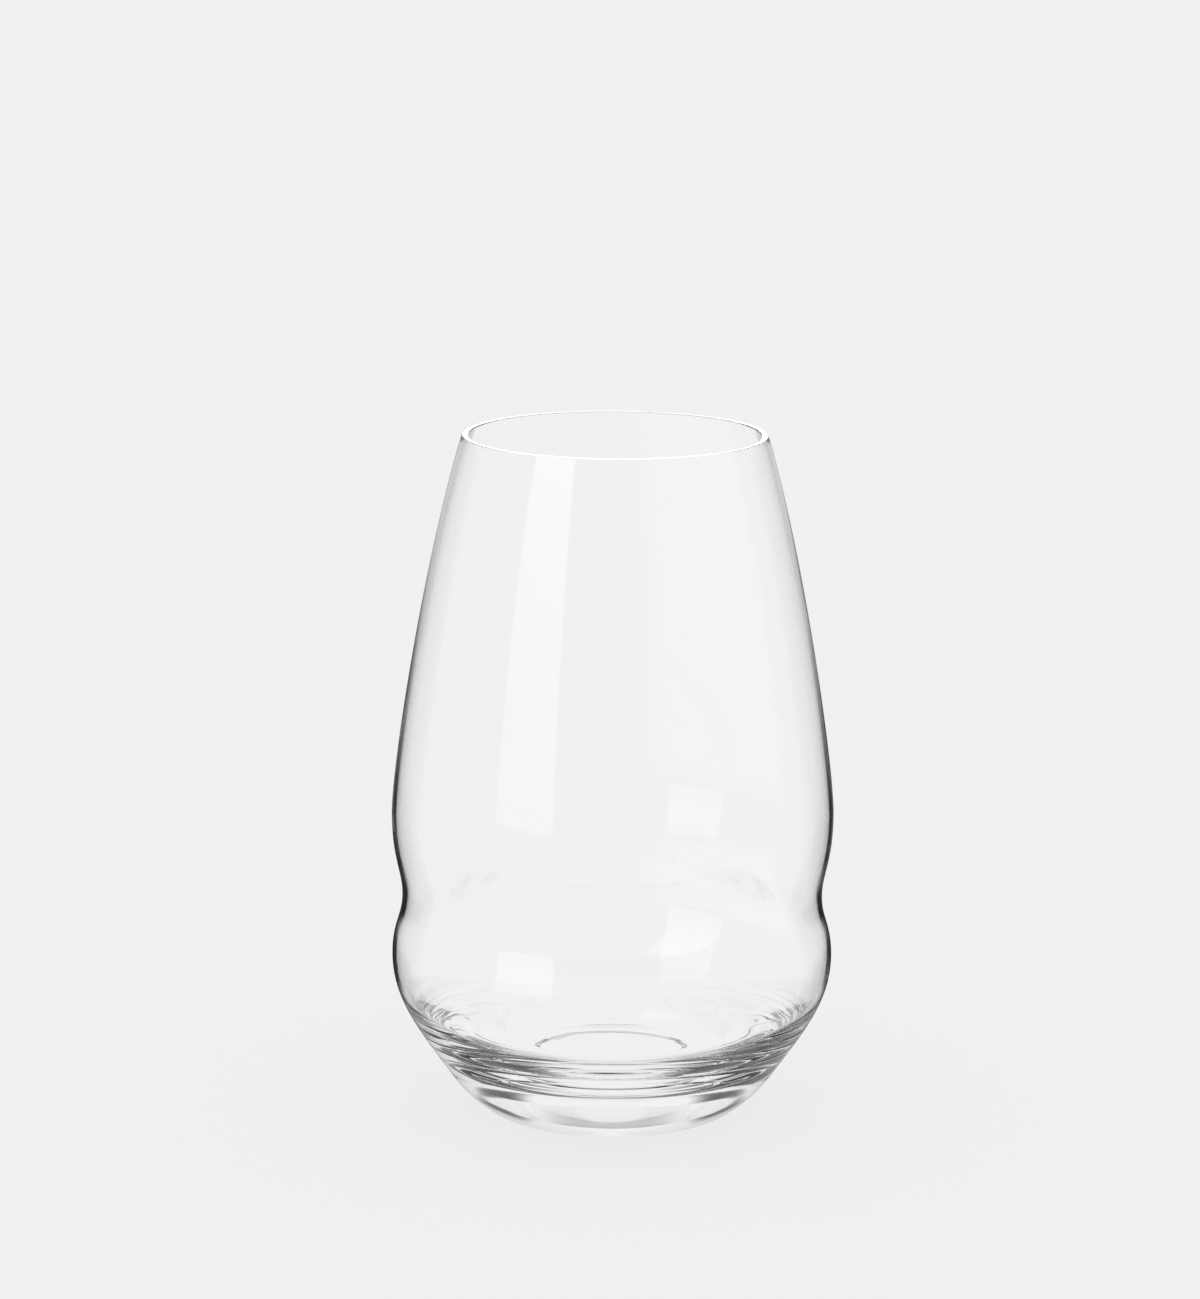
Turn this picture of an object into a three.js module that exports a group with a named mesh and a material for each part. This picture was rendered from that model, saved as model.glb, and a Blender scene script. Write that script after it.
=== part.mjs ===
// Clear glass tumbler in millimetres, +Z up, standing on z = 0 with its axis on Z.
// The whole object is one piece of glass: a wall revolved from a single closed outline
// with a tapered upper wall, a belly, a waist groove, a lower bulge, a rounded bowl, a thick
// base under a bowl-shaped floor, and a shallow recess inside the standing ring.
import * as THREE from 'three';

// Overall sizes and outside radii of the stations, from the lip down to the foot.
const height = 136.6;
const lipRadius = 30.05;
const bellyRadius = 44;
const waistRadius = 41.95;
const bulgeRadius = 44;
const bowlRadius = 36.8;
const footRadius = 29.5;

// Height of the bowl station above the table, then of each station above the one below it.
const bowlRise = 13.9;
const bulgeRise = 17.8;
const waistRise = 12.3;
const bellyRise = 16.4;

// Lean of the wall out from the vertical, in degrees, where it isn't upright.
const footLean = 53.7;
const bowlLean = 35;

// How much more the wall leans in at the lip than it does on average above the belly.
const lipSweep = 1.65;

// Wall thicknesses, square to the outside: at the lip, at the belly and in the bowl.
const lipWall = 1.2;
const bellyWall = 1.3;
const bowlWall = 1.4;

// Cavity floor above the table, the radius of its flat middle, and the rise of the bowl round it
// up to the wall. The glass under the bowl is the thick base.
const floorHeight = 12.2;
const floorRadius = 2;
const bowlDepth = 13.5;

// Foot: rounding of its edge, width of the flat standing ring, and the recess inside the ring.
const footCorner = 8;
const ringWidth = 4.3;
const recessSlope = 2.6;
const recessDepth = 0.7;
const recessCrown = 0.3;

// Smoothness of the model: facets round the axis and steps along each stretch of the outline.
const facets = 64;
const wallSteps = 5;
const taperSteps = 8;
const bowlSteps = 9;
const roundSteps = 4;

const at = (radius, z) => new THREE.Vector2(radius, z);
const heading = (lean) => at(Math.sin(lean), Math.cos(lean));
const radians = THREE.MathUtils.degToRad;

// Heights of the stations above the table.
const bulgeHeight = bowlRise + bulgeRise;
const waistHeight = bulgeHeight + waistRise;
const bellyHeight = waistHeight + bellyRise;
const lipLean = Math.atan(lipSweep * (bellyRadius - lipRadius) / (height - bellyHeight));

// The lip is a full round bead, and the foot's edge an arc that ends where it leans like the foot.
const beadRadius = lipWall / 2;
const beadCentre = at(lipRadius - beadRadius, height - beadRadius);
const lipEdge = beadCentre.clone().addScaledVector(at(Math.cos(lipLean), Math.sin(lipLean)), beadRadius);
const footCentre = at(footRadius - footCorner, footCorner);
const footEnd = -radians(footLean);
const footEdge = footCentre.clone().addScaledVector(at(Math.cos(footEnd), Math.sin(footEnd)), footCorner);

// Outside stations from the foot up. A pull is the length of the curve's handle at the station,
// as a share of the rise to the next station in that direction.
const stations = [
  { point: footEdge, lean: radians(footLean), pullUp: 0.48 },
  { point: at(bowlRadius, bowlRise), lean: radians(bowlLean), pullDown: 0.67, pullUp: 0.495 },
  { point: at(bulgeRadius, bulgeHeight), lean: 0, pullDown: 0.33, pullUp: 0.47 },
  { point: at(waistRadius, waistHeight), lean: 0, pullDown: 0.434, pullUp: 0.305 },
  { point: at(bellyRadius, bellyHeight), lean: 0, pullDown: 0.553, pullUp: 0.03, steps: taperSteps },
  { point: lipEdge, lean: -lipLean, pullDown: 0.462 },
];

// One smooth stretch of the outside between two stations, upwards.
function wallStretch(low, high) {
  const rise = high.point.y - low.point.y;
  return new THREE.CubicBezierCurve(
    low.point,
    low.point.clone().addScaledVector(heading(low.lean), low.pullUp * rise),
    high.point.clone().addScaledVector(heading(high.lean), -high.pullDown * rise),
    high.point,
  );
}

// Points of the outside from the foot to the lip, each with its upward direction.
function outsideSamples() {
  const samples = [];
  for (let i = 0; i + 1 < stations.length; i += 1) {
    const curve = wallStretch(stations[i], stations[i + 1]);
    const steps = stations[i].steps ?? wallSteps;
    for (let k = i === 0 ? 0 : 1; k <= steps; k += 1) {
      samples.push({ point: curve.getPoint(k / steps), along: curve.getTangent(k / steps) });
    }
  }
  return samples;
}

// The wall thickens smoothly from the belly up to the lip and down to the bowl.
function wallAt(z) {
  const towardsLip = THREE.MathUtils.smoothstep(z, bellyHeight, height);
  const towardsBowl = 1 - THREE.MathUtils.smoothstep(z, bowlRise, bellyHeight);
  return bellyWall + (lipWall - bellyWall) * towardsLip + (bowlWall - bellyWall) * towardsBowl;
}

// Inside of the wall: the outside moved in by the wall, square to it, from the lip down to the
// top of the floor's bowl.
function insideSamples(outside) {
  const inside = outside.map(({ point, along }) => ({
    point: point.clone().addScaledVector(at(-along.y, along.x), wallAt(point.y)),
    along,
  }));
  const bowlTop = floorHeight + bowlDepth;
  const first = inside.findIndex(({ point }) => point.y > bowlTop);
  const below = inside[Math.max(first - 1, 0)];
  const above = inside[first];
  const share = (bowlTop - below.point.y) / (above.point.y - below.point.y);
  const cut = {
    point: below.point.clone().lerp(above.point, share),
    along: below.along.clone().lerp(above.along, share).normalize(),
  };
  return [cut, ...inside.slice(first)].reverse();
}

// Bowl from the end of the inside wall down to the flat middle of the floor.
function floorBowl({ point, along }) {
  const floorEdge = at(floorRadius, floorHeight);
  const run = point.x - floorRadius;
  const wallPull = 0.3 * run;
  const floorPull = 0.5 * run;
  return new THREE.CubicBezierCurve(
    point,
    point.clone().addScaledVector(along, -wallPull),
    at(floorEdge.x + floorPull, floorEdge.y),
    floorEdge,
  );
}

// Underside from the axis out to the standing ring: a nearly flat recess with a soft slope.
function underside() {
  const ringInner = footRadius - footCorner - ringWidth;
  const recessRadius = ringInner - recessSlope;
  const crown = new THREE.QuadraticBezierCurve(
    at(0, recessDepth + recessCrown),
    at(recessRadius / 2, recessDepth + recessCrown),
    at(recessRadius, recessDepth),
  );
  const slope = new THREE.CubicBezierCurve(
    at(recessRadius, recessDepth),
    at(recessRadius + recessSlope / 2, recessDepth),
    at(ringInner - recessSlope / 2, 0),
    at(ringInner, 0),
  );
  return [...crown.getPoints(2), ...slope.getPoints(roundSteps).slice(1)];
}

// The closed outline, from the axis under the base, out and up the outside, over the lip's bead,
// down the inside and back to the axis on the floor.
function outline() {
  const outside = outsideSamples();
  const inside = insideSamples(outside);
  const footRound = new THREE.EllipseCurve(
    footCentre.x, footCentre.y, footCorner, footCorner, -Math.PI / 2, footEnd);
  const beadArc = (start, end) => new THREE.EllipseCurve(
    beadCentre.x, beadCentre.y, beadRadius, beadRadius, start, end);
  const beadOut = beadArc(lipLean, Math.PI / 2);
  const beadIn = beadArc(Math.PI / 2, lipLean + Math.PI);
  const bowl = floorBowl(inside[inside.length - 1]);
  return [
    ...underside(),
    ...footRound.getPoints(roundSteps).slice(0, -1),
    ...outside.map(({ point }) => point),
    ...beadOut.getPoints(2).slice(1),
    ...beadIn.getPoints(3).slice(1, -1),
    ...inside.map(({ point }) => point),
    ...bowl.getPoints(bowlSteps).slice(1),
    at(0, floorHeight),
  ];
}

// The outline turned about the axis. The lathe turns about Y, so the result is stood up on Z.
function glassBody() {
  const geometry = new THREE.LatheGeometry(outline(), facets);
  geometry.rotateX(Math.PI / 2);
  const clearGlass = new THREE.MeshStandardMaterial({
    color: 0xf1f4f3,
    roughness: 0.03,
    metalness: 0,
    transparent: true,
    opacity: 0.35,
  });
  const mesh = new THREE.Mesh(geometry, clearGlass);
  mesh.name = 'glass_body';
  return mesh;
}

const tumbler = new THREE.Group();
tumbler.name = 'tumbler';
tumbler.add(glassBody());

export default tumbler;
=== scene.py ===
"""Clear glass tumbler: the finely revolved glass, its table, studio and camera.

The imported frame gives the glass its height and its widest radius. Everything else is worked out
from the sizes below, which are in millimetres on the glass and in metres in the studio. The scale
of a pattern is counted per metre.
"""
from __future__ import annotations

import logging
from dataclasses import dataclass
from enum import Enum
from math import atan, cos, pi, radians, sin

import bpy
from mathutils import Matrix, Vector

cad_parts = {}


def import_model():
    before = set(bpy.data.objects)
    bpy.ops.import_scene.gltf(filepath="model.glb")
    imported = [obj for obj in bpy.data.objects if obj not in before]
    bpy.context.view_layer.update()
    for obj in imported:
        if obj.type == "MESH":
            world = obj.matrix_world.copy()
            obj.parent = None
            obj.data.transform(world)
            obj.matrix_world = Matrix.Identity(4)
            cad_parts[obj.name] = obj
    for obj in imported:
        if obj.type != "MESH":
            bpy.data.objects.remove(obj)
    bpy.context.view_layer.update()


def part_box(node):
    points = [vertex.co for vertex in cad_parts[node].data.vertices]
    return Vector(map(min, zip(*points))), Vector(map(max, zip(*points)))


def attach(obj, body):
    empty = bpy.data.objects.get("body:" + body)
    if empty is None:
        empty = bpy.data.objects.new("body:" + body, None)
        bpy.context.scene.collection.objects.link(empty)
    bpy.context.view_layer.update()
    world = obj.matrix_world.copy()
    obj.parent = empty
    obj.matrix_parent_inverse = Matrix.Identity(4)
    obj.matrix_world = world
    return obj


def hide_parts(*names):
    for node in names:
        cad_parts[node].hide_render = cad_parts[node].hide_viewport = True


LOG = logging.getLogger("tumbler")
MM = 0.001
GLASS_NODE = "glass_body"
BODY = "root"

# Limits between whole counts: of surfaces that light has crossed, and of times it was mirrored.
NO_CROSSING = 0.5
ONE_WALL_CROSSED = 2.5
MIRRORED_ONCE = 1.5
MIRRORED_TWICE = 2.5

# How many surfaces light may meet, and how often it may be mirrored, before it counts as lost.
MOST_SURFACES = 24
MOST_MIRRORINGS = 12


class Rays(Enum):
    """Outputs of the Light Path node that tell one kind of ray from another."""

    CAMERA = "Is Camera Ray"
    DIFFUSE = "Is Diffuse Ray"
    GLOSSY = "Is Glossy Ray"
    THROUGH_GLASS = "Is Transmission Ray"


class NodeSheet:
    """A node tree being drawn: makes nodes, sets their inputs and wires them."""

    def __init__(self, tree: bpy.types.NodeTree) -> None:
        """Take over a tree and start it empty.

        Args:
            tree: The shader or geometry tree to fill.
        """
        self.tree = tree
        tree.nodes.clear()

    def node(self, kind: str, inputs: dict | None = None, **settings: object) -> bpy.types.Node:
        """Add one node.

        Args:
            kind: Blender's name of the node type.
            inputs: Value or output socket for each input, by name or number.
            settings: Properties of the node itself.

        Returns:
            The new node.
        """
        made = self.tree.nodes.new(kind)
        for name, value in settings.items():
            setattr(made, name, value)
        for key, value in (inputs or {}).items():
            self.feed(made.inputs[key], value)
        return made

    def feed(self, socket: bpy.types.NodeSocket, value: object) -> None:
        """Wire an output to a socket, or set the socket to a plain value.

        Args:
            socket: The input socket.
            value: An output socket or a plain value.
        """
        if isinstance(value, bpy.types.NodeSocket):
            self.tree.links.new(value, socket)
        else:
            socket.default_value = value

    def math(self, operation: str, first: object, second: object = 0.0) -> bpy.types.NodeSocket:
        """Work out one sum on two numbers.

        Args:
            operation: Blender's name of the sum.
            first: First number or output socket.
            second: Second number or output socket.

        Returns:
            The socket that holds the result.
        """
        return self.node("ShaderNodeMath", {0: first, 1: second}, operation=operation).outputs[0]

    def ease(self, value: object, low: object, high: object, start: object = 0.0,
             end: object = 1.0) -> bpy.types.NodeSocket:
        """Map a number from one range to another with soft, clamped ends.

        Args:
            value: The number to map.
            low: Value that maps to start.
            high: Value that maps to end.
            start: Result at and below low.
            end: Result at and above high.

        Returns:
            The socket that holds the result.
        """
        ranges = {"Value": value, "From Min": low, "From Max": high, "To Min": start, "To Max": end}
        made = self.node("ShaderNodeMapRange", ranges, interpolation_type="SMOOTHSTEP")
        return made.outputs["Result"]

    def rays(self, *kinds: Rays) -> bpy.types.NodeSocket:
        """Give 1 for rays of any of the named kinds, and 0 for the rest.

        Args:
            kinds: Kinds of ray to tell apart.

        Returns:
            The socket that holds the answer.
        """
        path = self.node("ShaderNodeLightPath")
        answer = path.outputs[kinds[0].value]
        for kind in kinds[1:]:
            answer = self.math("MAXIMUM", answer, path.outputs[kind.value])
        return self.math("MINIMUM", answer, 1.0)


@dataclass(frozen=True)
class Cubic:
    """A cubic curve in the outline's plane, where x is the radius and y the height."""

    start: Vector
    start_handle: Vector
    end_handle: Vector
    end: Vector

    def point(self, share: float) -> Vector:
        """Give the point at a share of the way along the curve."""
        rest = 1.0 - share
        return (self.start * rest ** 3 + self.start_handle * 3 * rest ** 2 * share
                + self.end_handle * 3 * rest * share ** 2 + self.end * share ** 3)

    def along(self, share: float) -> Vector:
        """Give the direction of travel at a share of the way along the curve."""
        rest = 1.0 - share
        speed = ((self.start_handle - self.start) * rest ** 2
                 + (self.end_handle - self.start_handle) * 2 * rest * share
                 + (self.end - self.end_handle) * share ** 2)
        return speed.normalized()

    def points(self, steps: int) -> list[Vector]:
        """Give evenly timed points from the start to the end of the curve."""
        return [self.point(k / steps) for k in range(steps + 1)]


@dataclass(frozen=True)
class Station:
    """A place on the outside wall that the outline runs through, and the steps to the next one up."""

    point: Vector
    lean: float
    pull_down: float = 0.0
    pull_up: float = 0.0
    steps: int = 1

    def heading(self) -> Vector:
        """Give the wall's upward direction at the station."""
        return Vector((sin(self.lean), cos(self.lean)))


@dataclass(frozen=True)
class ClearGlass:
    """Finish of the glass: polished, colourless, with a trace of grey-green in thick places."""

    name: str = "clear_glass"
    colour: tuple = (1.0, 1.0, 1.0, 1.0)
    ior: float = 1.52
    roughness: float = 0.0
    depth_colour: tuple = (0.90, 0.96, 0.94, 1.0)
    depth_density: float = 1.2
    waviness_scale: float = 55.0
    waviness_detail: float = 1.0
    waviness_roughness: float = 0.4
    waviness_height: float = 0.02

    def material(self) -> bpy.types.Material:
        """Make the material, with the faint waviness of hot-formed glass as its bump.

        Returns:
            The new material.
        """
        made = bpy.data.materials.new(self.name)
        made.use_nodes = True
        sheet = NodeSheet(made.node_tree)
        place = sheet.node("ShaderNodeTexCoord").outputs["Object"]
        waves = sheet.node("ShaderNodeTexNoise", {
            "Vector": place, "Scale": self.waviness_scale, "Detail": self.waviness_detail,
            "Roughness": self.waviness_roughness})
        bump = sheet.node("ShaderNodeBump", {"Height": waves.outputs["Fac"], "Strength": 1.0,
                                             "Distance": self.waviness_height * MM})
        glass = sheet.node("ShaderNodeBsdfPrincipled", {
            "Base Color": self.colour, "Roughness": self.roughness, "IOR": self.ior,
            "Transmission Weight": 1.0, "Normal": bump.outputs["Normal"]})
        depth = sheet.node("ShaderNodeVolumeAbsorption", {"Color": self.depth_colour,
                                                          "Density": self.depth_density})
        sheet.node("ShaderNodeOutputMaterial", {"Surface": glass.outputs["BSDF"],
                                                "Volume": depth.outputs["Volume"]})
        return made


@dataclass
class Tumbler:
    """The glass itself: its outline's sizes, the lathe that turns it, and its finish."""

    height: float = 136.6
    belly_radius: float = 44.0
    lip_radius: float = 30.05
    waist_radius: float = 41.95
    bulge_radius: float = 44.0
    bowl_radius: float = 36.8
    foot_radius: float = 29.5
    bowl_rise: float = 13.9
    bulge_rise: float = 17.8
    waist_rise: float = 12.3
    belly_rise: float = 16.4
    foot_lean: float = radians(53.7)
    bowl_lean: float = radians(35.0)
    lip_sweep: float = 1.65
    lip_wall: float = 1.2
    lip_crown: float = 0.1
    belly_wall: float = 1.3
    bowl_wall: float = 1.4
    floor_height: float = 12.2
    floor_radius: float = 2.0
    bowl_depth: float = 13.5
    wall_pull: float = 0.3
    floor_pull: float = 0.5
    foot_corner: float = 8.0
    ring_width: float = 4.3
    recess_slope: float = 2.6
    recess_depth: float = 0.7
    recess_crown: float = 0.3
    facets: int = 216
    round_steps: int = 24
    bowl_steps: int = 44
    floor_steps: int = 4
    crown_steps: int = 12
    slope_steps: int = 16
    weld: float = 0.001
    ripple_height: float = 0.03
    ripple_low: float = 1.0
    ripple_full: float = 4.0
    ripple_top: float = 36.0
    ripple_fade: float = 0.6
    ripple_scale: tuple = (30.0, 30.0, 520.0)
    ripple_detail: float = 2.0
    ripple_roughness: float = 0.5
    ripple_seed: int = 7
    finish: ClearGlass = ClearGlass()

    @classmethod
    def from_frame(cls) -> Tumbler:
        """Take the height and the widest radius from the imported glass.

        Returns:
            The tumbler, with its other sizes as they are above.
        """
        low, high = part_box(GLASS_NODE)
        return cls(height=(high.z - low.z) / MM, belly_radius=high.x / MM)

    @property
    def bulge_height(self) -> float:
        """Height of the lower bulge above the table."""
        return self.bowl_rise + self.bulge_rise

    @property
    def waist_height(self) -> float:
        """Height of the waist groove above the table."""
        return self.bulge_height + self.waist_rise

    @property
    def belly_height(self) -> float:
        """Height of the belly above the table."""
        return self.waist_height + self.belly_rise

    @property
    def lip_lean(self) -> float:
        """Lean of the wall inwards at the lip."""
        return atan(self.lip_sweep * (self.belly_radius - self.lip_radius)
                    / (self.height - self.belly_height))

    @property
    def lip_edge(self) -> Vector:
        """Where the outside wall ends and the lip's rounding starts."""
        return Vector((self.lip_radius, self.height - self.lip_crown))

    @property
    def foot_centre(self) -> Vector:
        """Centre of the rounding at the foot's edge."""
        return Vector((self.foot_radius - self.foot_corner, self.foot_corner))

    def stations(self) -> list[Station]:
        """List the outside's stations from the foot up to the lip.

        Returns:
            The stations, with each handle as a share of the rise to the next station.
        """
        foot_end = Vector((cos(-self.foot_lean), sin(-self.foot_lean)))
        foot = self.foot_centre + foot_end * self.foot_corner
        bowl = Vector((self.bowl_radius, self.bowl_rise))
        bulge = Vector((self.bulge_radius, self.bulge_height))
        waist = Vector((self.waist_radius, self.waist_height))
        belly = Vector((self.belly_radius, self.belly_height))
        upright = 0.0
        return [
            Station(foot, self.foot_lean, pull_up=0.48, steps=44),
            Station(bowl, self.bowl_lean, pull_down=0.67, pull_up=0.495, steps=40),
            Station(bulge, upright, pull_down=0.33, pull_up=0.47, steps=30),
            Station(waist, upright, pull_down=0.434, pull_up=0.305, steps=30),
            Station(belly, upright, pull_down=0.553, pull_up=0.12, steps=50),
            Station(self.lip_edge, -self.lip_lean, pull_down=0.34),
        ]

    def outside(self) -> list[tuple[Vector, Vector]]:
        """Sample the outside from the foot to the lip.

        Returns:
            Points, each with its upward direction.
        """
        stations = self.stations()
        samples = []
        for low, high in zip(stations, stations[1:]):
            rise = high.point.y - low.point.y
            curve = Cubic(low.point, low.point + low.heading() * (low.pull_up * rise),
                          high.point - high.heading() * (high.pull_down * rise), high.point)
            first = 1 if samples else 0
            samples += [(curve.point(k / low.steps), curve.along(k / low.steps))
                        for k in range(first, low.steps + 1)]
        return samples

    def wall(self, height: float) -> float:
        """Give the wall's thickness at a height on the outside."""
        lip_share = self.smooth(height, self.belly_height, self.height)
        bowl_share = 1.0 - self.smooth(height, self.bowl_rise, self.belly_height)
        return (self.belly_wall + (self.lip_wall - self.belly_wall) * lip_share
                + (self.bowl_wall - self.belly_wall) * bowl_share)

    @staticmethod
    def smooth(value: float, low: float, high: float) -> float:
        """Ease from 0 at low to 1 at high."""
        share = min(1.0, max(0.0, (value - low) / (high - low)))
        return share * share * (3.0 - 2.0 * share)

    def inside(self, outside: list[tuple[Vector, Vector]]) -> list[tuple[Vector, Vector]]:
        """Set the outside in by the wall, down to the top of the floor's bowl.

        Args:
            outside: The outside's samples from the foot to the lip.

        Returns:
            Points from the lip down, each with its upward direction.
        """
        moved = [(point + Vector((-along.y, along.x)) * self.wall(point.y), along)
                 for point, along in outside]
        bowl_top = self.floor_height + self.bowl_depth
        first = next(k for k, (point, _) in enumerate(moved) if point.y > bowl_top)
        (low, low_along), (high, high_along) = moved[first - 1], moved[first]
        share = (bowl_top - low.y) / (high.y - low.y)
        cut = (low.lerp(high, share), low_along.lerp(high_along, share).normalized())
        return [*reversed(moved[first:]), cut]

    def floor_bowl(self, top: Vector, along: Vector) -> Cubic:
        """Lead the inside wall down into the floor in one bowl.

        Args:
            top: Where the inside wall ends.
            along: The wall's upward direction there.

        Returns:
            The bowl's curve, from the wall to the floor's flat middle.
        """
        edge = Vector((self.floor_radius, self.floor_height))
        run = top.x - edge.x
        return Cubic(top, top - along * (self.wall_pull * run),
                     edge + Vector((self.floor_pull * run, 0.0)), edge)

    def underside(self) -> list[Vector]:
        """Give the recess under the base, from the axis to the standing ring's inner edge."""
        ring_inner = self.foot_radius - self.foot_corner - self.ring_width
        recess = ring_inner - self.recess_slope
        top = self.recess_depth + self.recess_crown
        crown = Cubic(Vector((0.0, top)), Vector((recess / 3, top)),
                      Vector((recess * 2 / 3, self.recess_depth + self.recess_crown * 2 / 3)),
                      Vector((recess, self.recess_depth)))
        half = self.recess_slope / 2
        slope = Cubic(Vector((recess, self.recess_depth)), Vector((recess + half, self.recess_depth)),
                      Vector((ring_inner - half, 0.0)), Vector((ring_inner, 0.0)))
        return crown.points(self.crown_steps) + slope.points(self.slope_steps)[1:]

    def outline(self) -> list[Vector]:
        """Close the outline from the axis under the base round to the axis on the floor.

        Returns:
            Points of the outline in order, in millimetres.
        """
        outside = self.outside()
        inside = self.inside(outside)
        bowl = self.floor_bowl(*inside[-1])
        foot = self.foot_points()
        lip = self.lip_points()
        floor = [Vector((self.floor_radius * (1 - k / self.floor_steps), self.floor_height))
                 for k in range(1, self.floor_steps + 1)]
        return (self.underside() + foot[:-1] + [point for point, _ in outside] + lip[1:]
                + [point for point, _ in inside] + bowl.points(self.bowl_steps)[1:] + floor)

    def foot_points(self) -> list[Vector]:
        """Round the foot's edge, from the standing ring up to the outside wall.

        Returns:
            The points, from the ring to the wall.
        """
        first = -pi / 2
        turns = [first + (-self.foot_lean - first) * k / self.round_steps
                 for k in range(self.round_steps + 1)]
        return [self.foot_centre + Vector((cos(turn), sin(turn))) * self.foot_corner for turn in turns]

    def lip_points(self) -> list[Vector]:
        """Round the lip over, from the outside wall to the inside wall.

        Returns:
            The points, from the outside to the inside.
        """
        half = self.lip_wall / cos(self.lip_lean) / 2
        middle = self.lip_edge - Vector((half, 0.0))
        turns = [pi * k / self.round_steps for k in range(self.round_steps + 1)]
        return [middle + Vector((half * cos(turn), self.lip_crown * sin(turn))) for turn in turns]

    def lathe(self) -> bpy.types.NodeTree:
        """Draw the geometry tree that turns an outline about Z.

        Returns:
            The tree, with the facets, the ripple and the material as named inputs.
        """
        tree = bpy.data.node_groups.new("Glass lathe", "GeometryNodeTree")
        sheet = NodeSheet(tree)
        for name, kind in (("Outline", "Geometry"), ("Facets", "Int"), ("Ripple Height", "Float"),
                           ("Ripple Top", "Float"), ("Ripple Seed", "Float"), ("Glass", "Material")):
            tree.interface.new_socket(name, in_out="INPUT", socket_type=f"NodeSocket{kind}")
        tree.interface.new_socket("Body", in_out="OUTPUT", socket_type="NodeSocketGeometry")
        given = sheet.node("NodeGroupInput").outputs

        # One column of the grid for each facet and one more that closes the turn.
        size = sheet.node("GeometryNodeAttributeDomainSize", {"Geometry": given["Outline"]})
        rows = size.outputs["Point Count"]
        columns = sheet.math("ADD", given["Facets"], 1.0)
        grid = sheet.node("GeometryNodeMeshGrid", {"Vertices X": columns, "Vertices Y": rows})
        index = sheet.node("GeometryNodeInputIndex").outputs["Index"]
        row = sheet.math("FLOORED_MODULO", index, rows)
        column = sheet.math("FLOOR", sheet.math("DIVIDE", sheet.math("ADD", index, 0.5), rows))
        turn = sheet.math("DIVIDE", sheet.math("MULTIPLY", column, 2 * pi), given["Facets"])
        place = sheet.node("GeometryNodeInputPosition").outputs["Position"]
        sample = sheet.node("GeometryNodeSampleIndex", data_type="FLOAT_VECTOR", domain="POINT")
        sheet.feed(sample.inputs["Geometry"], given["Outline"])
        sheet.feed(sample.inputs["Value"], place)
        sheet.feed(sample.inputs["Index"], row)
        spot = sheet.node("ShaderNodeSeparateXYZ", {0: sample.outputs["Value"]}).outputs
        around = sheet.node("ShaderNodeCombineXYZ", {
            "X": sheet.math("MULTIPLY", spot["X"], sheet.math("COSINE", turn)),
            "Y": sheet.math("MULTIPLY", spot["X"], sheet.math("SINE", turn)),
            "Z": spot["Z"]})
        turned = sheet.node("GeometryNodeSetPosition", {"Geometry": grid.outputs["Mesh"],
                                                        "Position": around.outputs["Vector"]})
        closed = sheet.node("GeometryNodeMergeByDistance", {"Geometry": turned.outputs["Geometry"],
                                                            "Distance": self.weld * MM})
        rippled = self.ripple(sheet, closed.outputs["Geometry"], given)
        smooth = sheet.node("GeometryNodeSetShadeSmooth", {"Geometry": rippled})
        real = sheet.node("GeometryNodeRealizeInstances", {"Geometry": smooth.outputs["Geometry"]})
        dressed = sheet.node("GeometryNodeSetMaterial", {"Geometry": real.outputs["Geometry"],
                                                         "Material": given["Glass"]})
        sheet.node("NodeGroupOutput", {"Body": dressed.outputs["Geometry"]})
        return tree

    def ripple(self, sheet: NodeSheet, body: bpy.types.NodeSocket,
               given: bpy.types.NodeOutputs) -> bpy.types.NodeSocket:
        """Give the thick lower glass the flat rings that moulding leaves in it.

        Args:
            sheet: The tree being drawn.
            body: The turned body.
            given: The tree's named inputs.

        Returns:
            The body with its ripple.
        """
        place = sheet.node("GeometryNodeInputPosition").outputs["Position"]
        height = sheet.node("ShaderNodeSeparateXYZ", {0: place}).outputs["Z"]
        rings = sheet.node("ShaderNodeVectorMath", {0: place, 1: self.ripple_scale},
                           operation="MULTIPLY").outputs["Vector"]
        noise = sheet.node("ShaderNodeTexNoise", {
            "Vector": rings, "W": given["Ripple Seed"], "Scale": 1.0, "Detail": self.ripple_detail,
            "Roughness": self.ripple_roughness}, noise_dimensions="4D")
        swing = sheet.math("SUBTRACT", noise.outputs["Fac"], 0.5)
        above_foot = sheet.ease(height, self.ripple_low * MM, self.ripple_full * MM)
        fade_start = sheet.math("MULTIPLY", given["Ripple Top"], self.ripple_fade)
        below_top = sheet.ease(height, fade_start, given["Ripple Top"], 1.0, 0.0)
        share = sheet.math("MULTIPLY", above_foot, below_top)
        reach = sheet.math("MULTIPLY", sheet.math("MULTIPLY", swing, share), given["Ripple Height"])
        normal = sheet.node("GeometryNodeInputNormal").outputs["Normal"]
        offset = sheet.node("ShaderNodeVectorMath", {0: normal, "Scale": reach}, operation="SCALE")
        moved = sheet.node("GeometryNodeSetPosition", {"Geometry": body,
                                                       "Offset": offset.outputs["Vector"]})
        return moved.outputs["Geometry"]

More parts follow.
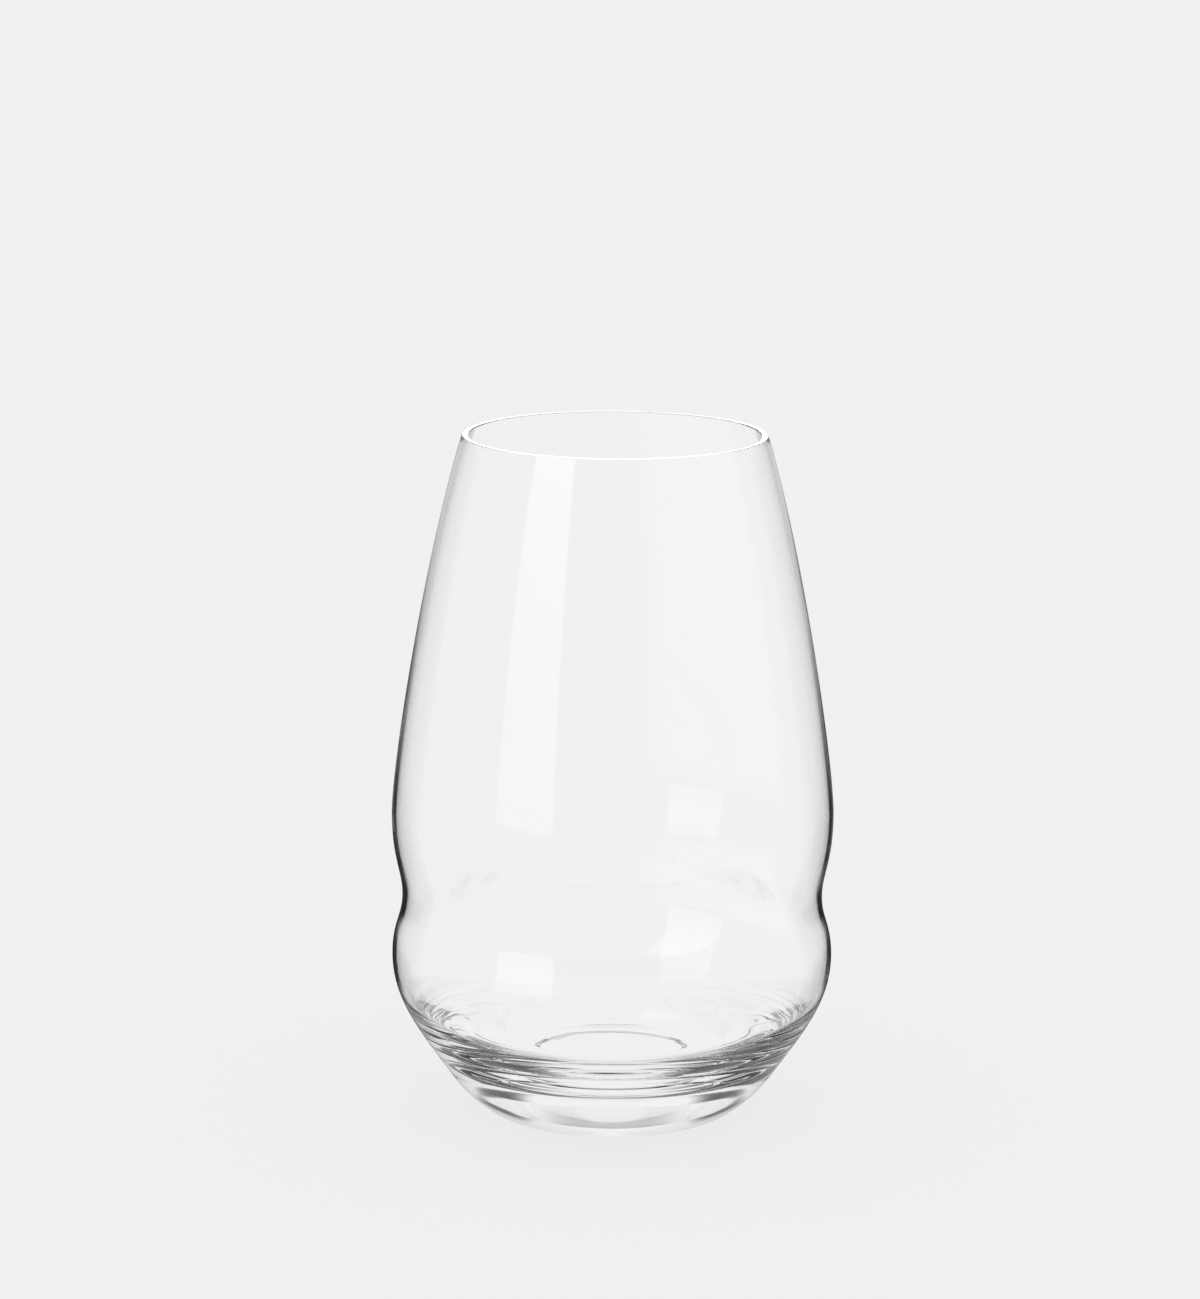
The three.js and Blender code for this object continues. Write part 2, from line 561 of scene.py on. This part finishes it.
    def build(self) -> bpy.types.Object:
        """Turn the outline into the glass body and dress it.

        Returns:
            The finished piece, riding on the frame in place of the plain glass.
        """
        points = [(point.x * MM, 0.0, point.y * MM) for point in self.outline()]
        mesh = bpy.data.meshes.new("tumbler_outline")
        mesh.from_pydata(points, [(k, k + 1) for k in range(len(points) - 1)], [])
        piece = bpy.data.objects.new("tumbler_glass", mesh)
        bpy.context.scene.collection.objects.link(piece)
        tree = self.lathe()
        turning = piece.modifiers.new("Lathe", "NODES")
        turning.node_group = tree
        values = {"Facets": self.facets, "Ripple Height": self.ripple_height * MM,
                  "Ripple Top": self.ripple_top * MM, "Ripple Seed": float(self.ripple_seed),
                  "Glass": self.finish.material()}
        for socket in tree.interface.items_tree:
            if socket.in_out == "INPUT" and socket.name in values:
                turning[socket.identifier] = values[socket.name]
        graph = bpy.context.evaluated_depsgraph_get()
        turned = bpy.data.meshes.new_from_object(piece.evaluated_get(graph))
        piece.modifiers.remove(turning)
        piece.data = turned
        turned.name = "tumbler_glass"
        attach(piece, BODY)
        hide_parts(GLASS_NODE)
        return piece


@dataclass(frozen=True)
class Card:
    """A panel far from the glass, as the directions that it covers, in degrees.

    The turn is counted from +Y, straight behind the glass, towards +X.
    """

    turn: float
    half_width: float
    low: float
    high: float
    soft: float = 2.0

    def cover(self, sheet: NodeSheet, turn: bpy.types.NodeSocket,
              climb: bpy.types.NodeSocket) -> bpy.types.NodeSocket:
        """Give 1 in the directions that the card covers, easing to 0 outside them.

        Args:
            sheet: The world's tree.
            turn: Direction round the axis, in radians.
            climb: Angle of the direction above the horizon, in radians.

        Returns:
            The socket that holds the share.
        """
        off = sheet.math("COSINE", sheet.math("SUBTRACT", turn, radians(self.turn)))
        wide = sheet.ease(off, cos(radians(self.half_width + self.soft)),
                          cos(radians(max(self.half_width - self.soft, 0.0))))
        above = sheet.ease(climb, radians(self.low - self.soft), radians(self.low + self.soft))
        below = sheet.ease(climb, radians(self.high - self.soft), radians(self.high + self.soft),
                           1.0, 0.0)
        return sheet.math("MULTIPLY", wide, sheet.math("MULTIPLY", above, below))


@dataclass
class Studio:
    """Pale surroundings, with dark cards that draw the edges of the glass, a window and a rear light.

    A dark ceiling shows in the base, the window lights the part of the table next to it, and the rear
    light whitens the lip. What light meets depends on its direction, on how often the glass has mirrored
    it and on how many surfaces it has crossed. Angles are in degrees.
    """

    pale: float = 0.879
    fill: float = 1.0
    sky: float = 0.9
    sky_low: float = -5.0
    sky_high: float = 40.0
    screens: int = 8
    gap_edge: float = 13.5
    gap_soft: float = 2.5
    gap_depth: float = 1.0
    gap_low: float = -45.0
    gap_high: float = 8.0
    gap_fade: float = 2.0
    open_turn: float = 58.0
    open_soft: float = 5.0
    turned_edge: float = 12.0
    turned_soft: float = 4.0
    turned_depth: float = 0.95
    turned_open: float = 115.0
    turned_low: float = 25.0
    turned_fade: float = 4.0
    ceiling_low: float = 62.0
    ceiling_high: float = 80.0
    ceiling_depth: float = 0.75
    ceiling_near_share: float = 0.3
    side_depth: float = 0.5
    side_cards: tuple[Card, ...] = (Card(turn=-32.0, half_width=28.0, low=-60.0, high=8.0, soft=4.0),
                                    Card(turn=32.0, half_width=28.0, low=-60.0, high=8.0, soft=4.0))
    edge_depth: float = 0.9
    edge_cards: tuple[Card, ...] = (Card(turn=-27.0, half_width=25.0, low=-21.0, high=-9.8, soft=3.0),
                                    Card(turn=27.0, half_width=25.0, low=-20.0, high=-9.8, soft=3.0))
    wall_depth: float = 1.0
    wall_cards: tuple[Card, ...] = (Card(turn=-14.5, half_width=8.5, low=-21.0, high=-9.8, soft=3.0),
                                    Card(turn=14.5, half_width=8.5, low=-20.0, high=-9.8, soft=3.0),
                                    Card(turn=-33.0, half_width=8.0, low=8.0, high=26.0, soft=6.0),
                                    Card(turn=33.0, half_width=8.0, low=8.0, high=26.0, soft=6.0))
    turned_cards: tuple[Card, ...] = (Card(turn=-58.0, half_width=45.0, low=-40.0, high=45.0, soft=5.0),
                                      Card(turn=44.0, half_width=31.0, low=-40.0, high=45.0, soft=5.0))
    window_glow: float = 1.2
    window_low_glow: float = 0.5
    window_full: float = 35.0
    window: Card = Card(turn=-133.0, half_width=16.0, low=-4.0, high=66.0, soft=0.5)
    table_glow: float = 0.35
    rear_glow: float = 3.2
    rear_light: Card = Card(turn=0.0, half_width=6.0, low=5.0, high=45.0, soft=3.0)
    lit_table: Card = Card(turn=-113.0, half_width=42.0, low=-60.0, high=-10.0, soft=9.0)

    def build(self) -> bpy.types.World:
        """Make the world that lights the glass and shows behind it.

        Returns:
            The new world, set on the scene.
        """
        world = bpy.data.worlds.new("studio")
        world.use_nodes = True
        bpy.context.scene.world = world
        sheet = NodeSheet(world.node_tree)
        way = sheet.node("ShaderNodeTexCoord").outputs["Generated"]
        axis = sheet.node("ShaderNodeSeparateXYZ", {0: way}).outputs
        turn = sheet.math("ARCTAN2", axis["X"], axis["Y"])
        climb = sheet.math("ARCSINE", axis["Z"])
        path = sheet.node("ShaderNodeLightPath").outputs
        mirrored = sheet.math("MINIMUM", path["Glossy Depth"], 1.0)
        behind = self.behind(sheet, turn, climb)
        beside = self.beside(sheet, turn, climb, path["Glossy Depth"], path["Transmission Depth"])
        once = sheet.math("MULTIPLY", mirrored,
                          sheet.math("LESS_THAN", path["Glossy Depth"], MIRRORED_ONCE))
        glow = sheet.math("MULTIPLY", self.glow(sheet, turn, climb, path["Transmission Depth"]), once)
        room = sheet.node("ShaderNodeMix", {0: mirrored, 2: behind, 3: beside}).outputs[0]
        seen = sheet.node("ShaderNodeBackground", {"Strength": sheet.math("ADD", room, glow)})
        flat = sheet.node("ShaderNodeBackground", {
            "Strength": sheet.ease(sheet.rays(Rays.DIFFUSE), 0.0, 1.0, self.pale, self.fill)})
        for shader in (seen, flat):
            shader.inputs["Color"].default_value = (1.0, 1.0, 1.0, 1.0)
        plain = sheet.rays(Rays.CAMERA, Rays.DIFFUSE)
        both = sheet.node("ShaderNodeMixShader", {0: plain, 1: seen.outputs[0], 2: flat.outputs[0]})
        sheet.node("ShaderNodeOutputWorld", {"Surface": both.outputs[0]})
        return world

    def gaps(self, sheet: NodeSheet, turn: bpy.types.NodeSocket, edge: float,
             soft: float, open_turn: float) -> bpy.types.NodeSocket:
        """Give the ring of dark gaps between pale screens, which is open straight behind the glass.

        Args:
            sheet: The world's tree.
            turn: Direction round the axis, in radians.
            edge: Half the width of a screen, in degrees.
            soft: Half the width of a screen's soft edge, in degrees.
            open_turn: Half the width of the part of the ring that is open, in degrees.

        Returns:
            The socket that holds 1 in a gap and 0 on a screen.
        """
        wave = sheet.math("COSINE", sheet.math("MULTIPLY", turn, float(self.screens)))
        inner = cos(self.screens * radians(edge - soft))
        outer = cos(self.screens * radians(edge + soft))
        away = sheet.ease(sheet.math("COSINE", turn), cos(radians(open_turn + self.open_soft)),
                          cos(radians(open_turn - self.open_soft)), 1.0, 0.0)
        return sheet.math("MULTIPLY", sheet.ease(wave, outer, inner, 1.0, 0.0), away)

    def behind(self, sheet: NodeSheet, turn: bpy.types.NodeSocket,
               climb: bpy.types.NodeSocket) -> bpy.types.NodeSocket:
        """Give the brightness that shows through the glass: pale, with dark gaps at the sides and back.

        Args:
            sheet: The world's tree.
            turn: Direction round the axis, in radians.
            climb: Angle of the direction above the horizon, in radians.

        Returns:
            The socket that holds the brightness.
        """
        high = radians(self.gap_high)
        low = radians(self.gap_low)
        fade = radians(self.gap_fade)
        below = sheet.ease(climb, high - fade, high + fade, 1.0, 0.0)
        above = sheet.ease(climb, low - fade, low + fade)
        gaps = self.gaps(sheet, turn, self.gap_edge, self.gap_soft, self.open_turn)
        dark = sheet.math("MULTIPLY", gaps, sheet.math("MULTIPLY", below, above))
        return sheet.ease(sheet.math("MULTIPLY", dark, self.gap_depth), 0.0, 1.0, self.pale, 0.0)

    def beside(self, sheet: NodeSheet, turn: bpy.types.NodeSocket, climb: bpy.types.NodeSocket,
               mirrorings: bpy.types.NodeSocket, crossings: bpy.types.NodeSocket) -> bpy.types.NodeSocket:
        """Give the brightness that the glass mirrors: a pale room with dark cards and a dark ceiling.

        Args:
            sheet: The world's tree.
            turn: Direction round the axis, in radians.
            climb: Angle of the direction above the horizon, in radians.
            mirrorings: How often the glass has mirrored the light.
            crossings: How often the light has crossed a surface of the glass.

        Returns:
            The socket that holds the brightness.
        """
        outer_face = sheet.math("LESS_THAN", crossings, NO_CROSSING)
        one_wall = sheet.math("LESS_THAN", crossings, ONE_WALL_CROSSED)
        near_wall = sheet.math("SUBTRACT", one_wall, outer_face)
        low = sheet.ease(climb, radians(self.turned_low - self.turned_fade),
                         radians(self.turned_low + self.turned_fade), 1.0, 0.0)
        often = sheet.math("MULTIPLY", sheet.math("GREATER_THAN", mirrorings, MIRRORED_TWICE),
                           sheet.math("MAXIMUM", one_wall, low))
        ring = self.gaps(sheet, turn, self.turned_edge, self.turned_soft, self.turned_open)
        gaps = sheet.math("MAXIMUM", ring, self.cover(sheet, turn, climb, self.turned_cards))
        ceiling = sheet.ease(climb, radians(self.ceiling_low), radians(self.ceiling_high))
        ceiling_share = sheet.ease(crossings, 2.0, 4.0, self.ceiling_near_share, 1.0)
        shades = ((self.cover(sheet, turn, climb, self.side_cards), outer_face, self.side_depth),
                  (self.cover(sheet, turn, climb, self.edge_cards), outer_face, self.edge_depth),
                  (self.cover(sheet, turn, climb, self.wall_cards), near_wall, self.wall_depth),
                  (gaps, often, self.turned_depth),
                  (ceiling, ceiling_share, self.ceiling_depth))
        bright = sheet.ease(climb, radians(self.sky_low), radians(self.sky_high), self.pale, self.sky)
        for share, when, depth in shades:
            dark = sheet.math("MULTIPLY", sheet.math("MULTIPLY", share, when), depth)
            bright = sheet.math("MULTIPLY", bright, sheet.math("SUBTRACT", 1.0, dark))
        return bright

    @staticmethod
    def cover(sheet: NodeSheet, turn: bpy.types.NodeSocket, climb: bpy.types.NodeSocket,
              cards: tuple[Card, ...]) -> bpy.types.NodeSocket:
        """Give 1 in the directions that any of the cards covers.

        Args:
            sheet: The world's tree.
            turn: Direction round the axis, in radians.
            climb: Angle of the direction above the horizon, in radians.
            cards: The cards.

        Returns:
            The socket that holds the share.
        """
        covered = cards[0].cover(sheet, turn, climb)
        for card in cards[1:]:
            covered = sheet.math("MAXIMUM", covered, card.cover(sheet, turn, climb))
        return covered

    def glow(self, sheet: NodeSheet, turn: bpy.types.NodeSocket, climb: bpy.types.NodeSocket,
             crossings: bpy.types.NodeSocket) -> bpy.types.NodeSocket:
        """Give the extra brightness of the window, of the table that it lights and of the rear light.

        Args:
            sheet: The world's tree.
            turn: Direction round the axis, in radians.
            climb: Angle of the direction above the horizon, in radians.
            crossings: How often the light has crossed a surface of the glass.

        Returns:
            The socket that holds the brightness.
        """
        strength = sheet.ease(climb, radians(self.window.low), radians(self.window_full),
                              self.window_low_glow, self.window_glow)
        window = sheet.math("MULTIPLY", self.window.cover(sheet, turn, climb), strength)
        far_wall = sheet.math("GREATER_THAN", crossings, ONE_WALL_CROSSED)
        lit = sheet.math("MULTIPLY", self.lit_table.cover(sheet, turn, climb), far_wall)
        table = sheet.math("MULTIPLY", lit, self.table_glow)
        outer_face = sheet.math("LESS_THAN", crossings, NO_CROSSING)
        rear = sheet.math("MULTIPLY", self.rear_light.cover(sheet, turn, climb), outer_face)
        lamps = sheet.math("ADD", table, sheet.math("MULTIPLY", rear, self.rear_glow))
        return sheet.math("ADD", window, lamps)


@dataclass
class Table:
    """Plain pale table top that the glass stands on."""

    half_width: float = 1.5
    drop: float = 0.0002
    pale: float = 0.879
    shadow_share: float = 0.12

    def build(self) -> bpy.types.Object:
        """Lay the table top just under the glass.

        Returns:
            The table.
        """
        half = self.half_width
        mesh = bpy.data.meshes.new("table_top")
        corners = [(-half, -half), (half, -half), (half, half), (-half, half)]
        mesh.from_pydata([(x, y, -self.drop) for x, y in corners], [], [(0, 1, 2, 3)])
        mesh.materials.append(self.material())
        table = bpy.data.objects.new("table_top", mesh)
        bpy.context.scene.collection.objects.link(table)
        return table

    def material(self) -> bpy.types.Material:
        """Make the pale finish: even to the eye, with a faint soft shadow.

        Returns:
            The new material.
        """
        made = bpy.data.materials.new("pale_table")
        made.use_nodes = True
        sheet = NodeSheet(made.node_tree)
        grey = (self.pale, self.pale, self.pale, 1.0)
        matt = sheet.node("ShaderNodeBsdfDiffuse", {"Color": grey})
        even = sheet.node("ShaderNodeEmission", {"Color": grey, "Strength": 1.0})
        clear = sheet.node("ShaderNodeBsdfTransparent")
        top = sheet.node("ShaderNodeMixShader", {0: self.shadow_share, 1: even.outputs[0],
                                                 2: matt.outputs[0]})
        bent = sheet.rays(Rays.GLOSSY, Rays.THROUGH_GLASS)
        both = sheet.node("ShaderNodeMixShader", {0: bent, 1: top.outputs[0], 2: clear.outputs[0]})
        sheet.node("ShaderNodeOutputMaterial", {"Surface": both.outputs[0]})
        return made


@dataclass
class PhotoCamera:
    """Camera at the photograph's viewing angle, placed so that one point falls on one pixel."""

    image_width: float = 1200.0
    image_height: float = 1299.0
    sensor_width: float = 36.0
    elevation: float = 13.76
    distance: float = 0.87
    roll: float = 0.39
    aim_height: float = 0.066
    aim_across: float = 613.8
    aim_down: float = 784.4
    pixels_per_metre: float = 5019.4

    def build(self) -> bpy.types.Object:
        """Make the camera and set it on the scene.

        Returns:
            The camera.
        """
        focal = self.pixels_per_metre * self.distance
        lens = bpy.data.cameras.new("photo_camera")
        lens.sensor_fit = "HORIZONTAL"
        lens.sensor_width = self.sensor_width
        lens.lens = focal / self.image_width * self.sensor_width
        camera = bpy.data.objects.new("photo_camera", lens)
        bpy.context.scene.collection.objects.link(camera)
        bpy.context.scene.camera = camera
        aim = Vector((0.0, 0.0, self.aim_height))
        climb = radians(self.elevation)
        spot = aim + Vector((0.0, -cos(climb), sin(climb))) * self.distance
        facing = (aim - spot).to_track_quat("-Z", "Y").to_matrix()
        across = atan((self.aim_across - self.image_width / 2) / focal)
        down = atan((self.aim_down - self.image_height / 2) / focal)
        turned = (facing @ Matrix.Rotation(across, 3, "Y") @ Matrix.Rotation(down, 3, "X")
                  @ Matrix.Rotation(radians(self.roll), 3, "Z"))
        camera.matrix_world = Matrix.Translation(spot) @ turned.to_4x4()
        return camera


def set_up_render() -> None:
    """Let light pass through many layers of glass, and show colours as they are written."""
    scene = bpy.context.scene
    scene.view_settings.view_transform = "Standard"
    scene.cycles.max_bounces = MOST_SURFACES
    scene.cycles.transmission_bounces = MOST_SURFACES
    scene.cycles.glossy_bounces = MOST_MIRRORINGS


def main() -> None:
    """Build the glass, the table, the studio and the camera, in that order."""
    logging.basicConfig(level=logging.INFO, format="%(name)s: %(message)s")
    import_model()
    set_up_render()
    glass = Tumbler.from_frame().build()
    LOG.info("%s: %d faces", glass.name, len(glass.data.polygons))
    table = Table().build()
    LOG.info("%s laid", table.name)
    world = Studio().build()
    LOG.info("%s lit", world.name)
    camera = PhotoCamera().build()
    LOG.info("%s placed", camera.name)


if __name__ == "__main__":
    main()
